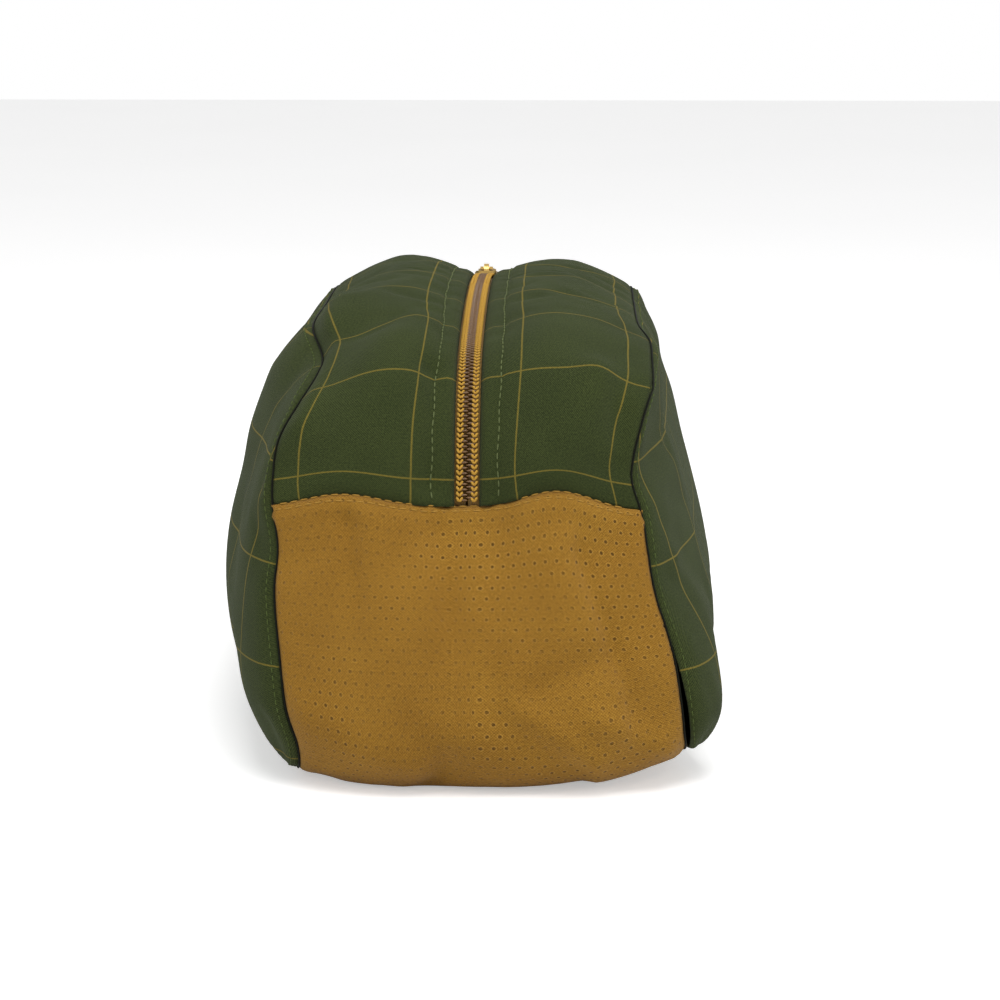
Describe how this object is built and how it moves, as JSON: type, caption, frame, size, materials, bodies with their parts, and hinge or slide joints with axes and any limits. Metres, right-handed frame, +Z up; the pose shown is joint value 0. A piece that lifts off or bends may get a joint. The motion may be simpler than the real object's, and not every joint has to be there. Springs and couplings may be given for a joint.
{
  "type": "shoe bag",
  "caption": "Soft zip-top bag that holds a pair of golf shoes; both halves of the top fold back once the zip is open.",
  "frame": {"origin": "middle of the flat base, on the surface the bag stands on", "axes": "+Z up, Y along the bag and its zip with the shown end at -Y, X across"},
  "size_m": [0.1976, 0.3298, 0.1693],
  "materials": {
    "twill": "woven green twill with a fine olive windowpane check",
    "mesh": "gold athletic mesh with small round holes",
    "zip_tape": "woven gold zip tape",
    "zip_coil": "gold nylon coil sewn to the tape",
    "zip_metal": "plated die-cast metal, lightly worn"
  },
  "bodies": {
    "bag": {"side_panel_left": "twill", "side_panel_right": "twill", "mesh_strip": "mesh", "top_panel_left_front": "twill", "top_panel_left_rear": "twill", "top_panel_right_front": "twill", "top_panel_right_rear": "twill", "zip_tape_left_front": "zip_tape", "zip_tape_left_rear": "zip_tape", "zip_tape_right_front": "zip_tape", "zip_tape_right_rear": "zip_tape", "zip_coil_left_front": "zip_coil", "zip_coil_left_rear": "zip_coil", "zip_coil_right_front": "zip_coil", "zip_coil_right_rear": "zip_coil"},
    "left_flap": {"top_panel_left_crown": "twill", "zip_tape_left_crown": "zip_tape", "zip_coil_left_crown": "zip_coil"},
    "right_flap": {"top_panel_right_crown": "twill", "zip_tape_right_crown": "zip_tape", "zip_coil_right_crown": "zip_coil"},
    "slider": {"slider_body": "zip_metal"},
    "puller": {"pull_tab": "zip_metal"}
  },
  "joints": [
    {"name": "left_flap_fold", "type": "hinge", "parent": "bag", "child": "left_flap", "pos_m": [-0.06515, 0, 0.16], "axis": [0, -1, 0], "range_deg": [0, 105]},
    {"name": "right_flap_fold", "type": "hinge", "parent": "bag", "child": "right_flap", "pos_m": [0.06515, 0, 0.16], "axis": [0, 1, 0], "range_deg": [0, 105]},
    {"name": "zip_travel", "type": "hinge", "parent": "bag", "child": "slider", "pos_m": [0, 0, -0.352], "axis": [1, 0, 0], "range_deg": [0, 20.38]},
    {"name": "pull_swing", "type": "hinge", "parent": "slider", "child": "puller", "pos_m": [0, 0.09265, 0.16339], "axis": [1, 0, 0], "range_deg": [0, 150]}
  ]
}
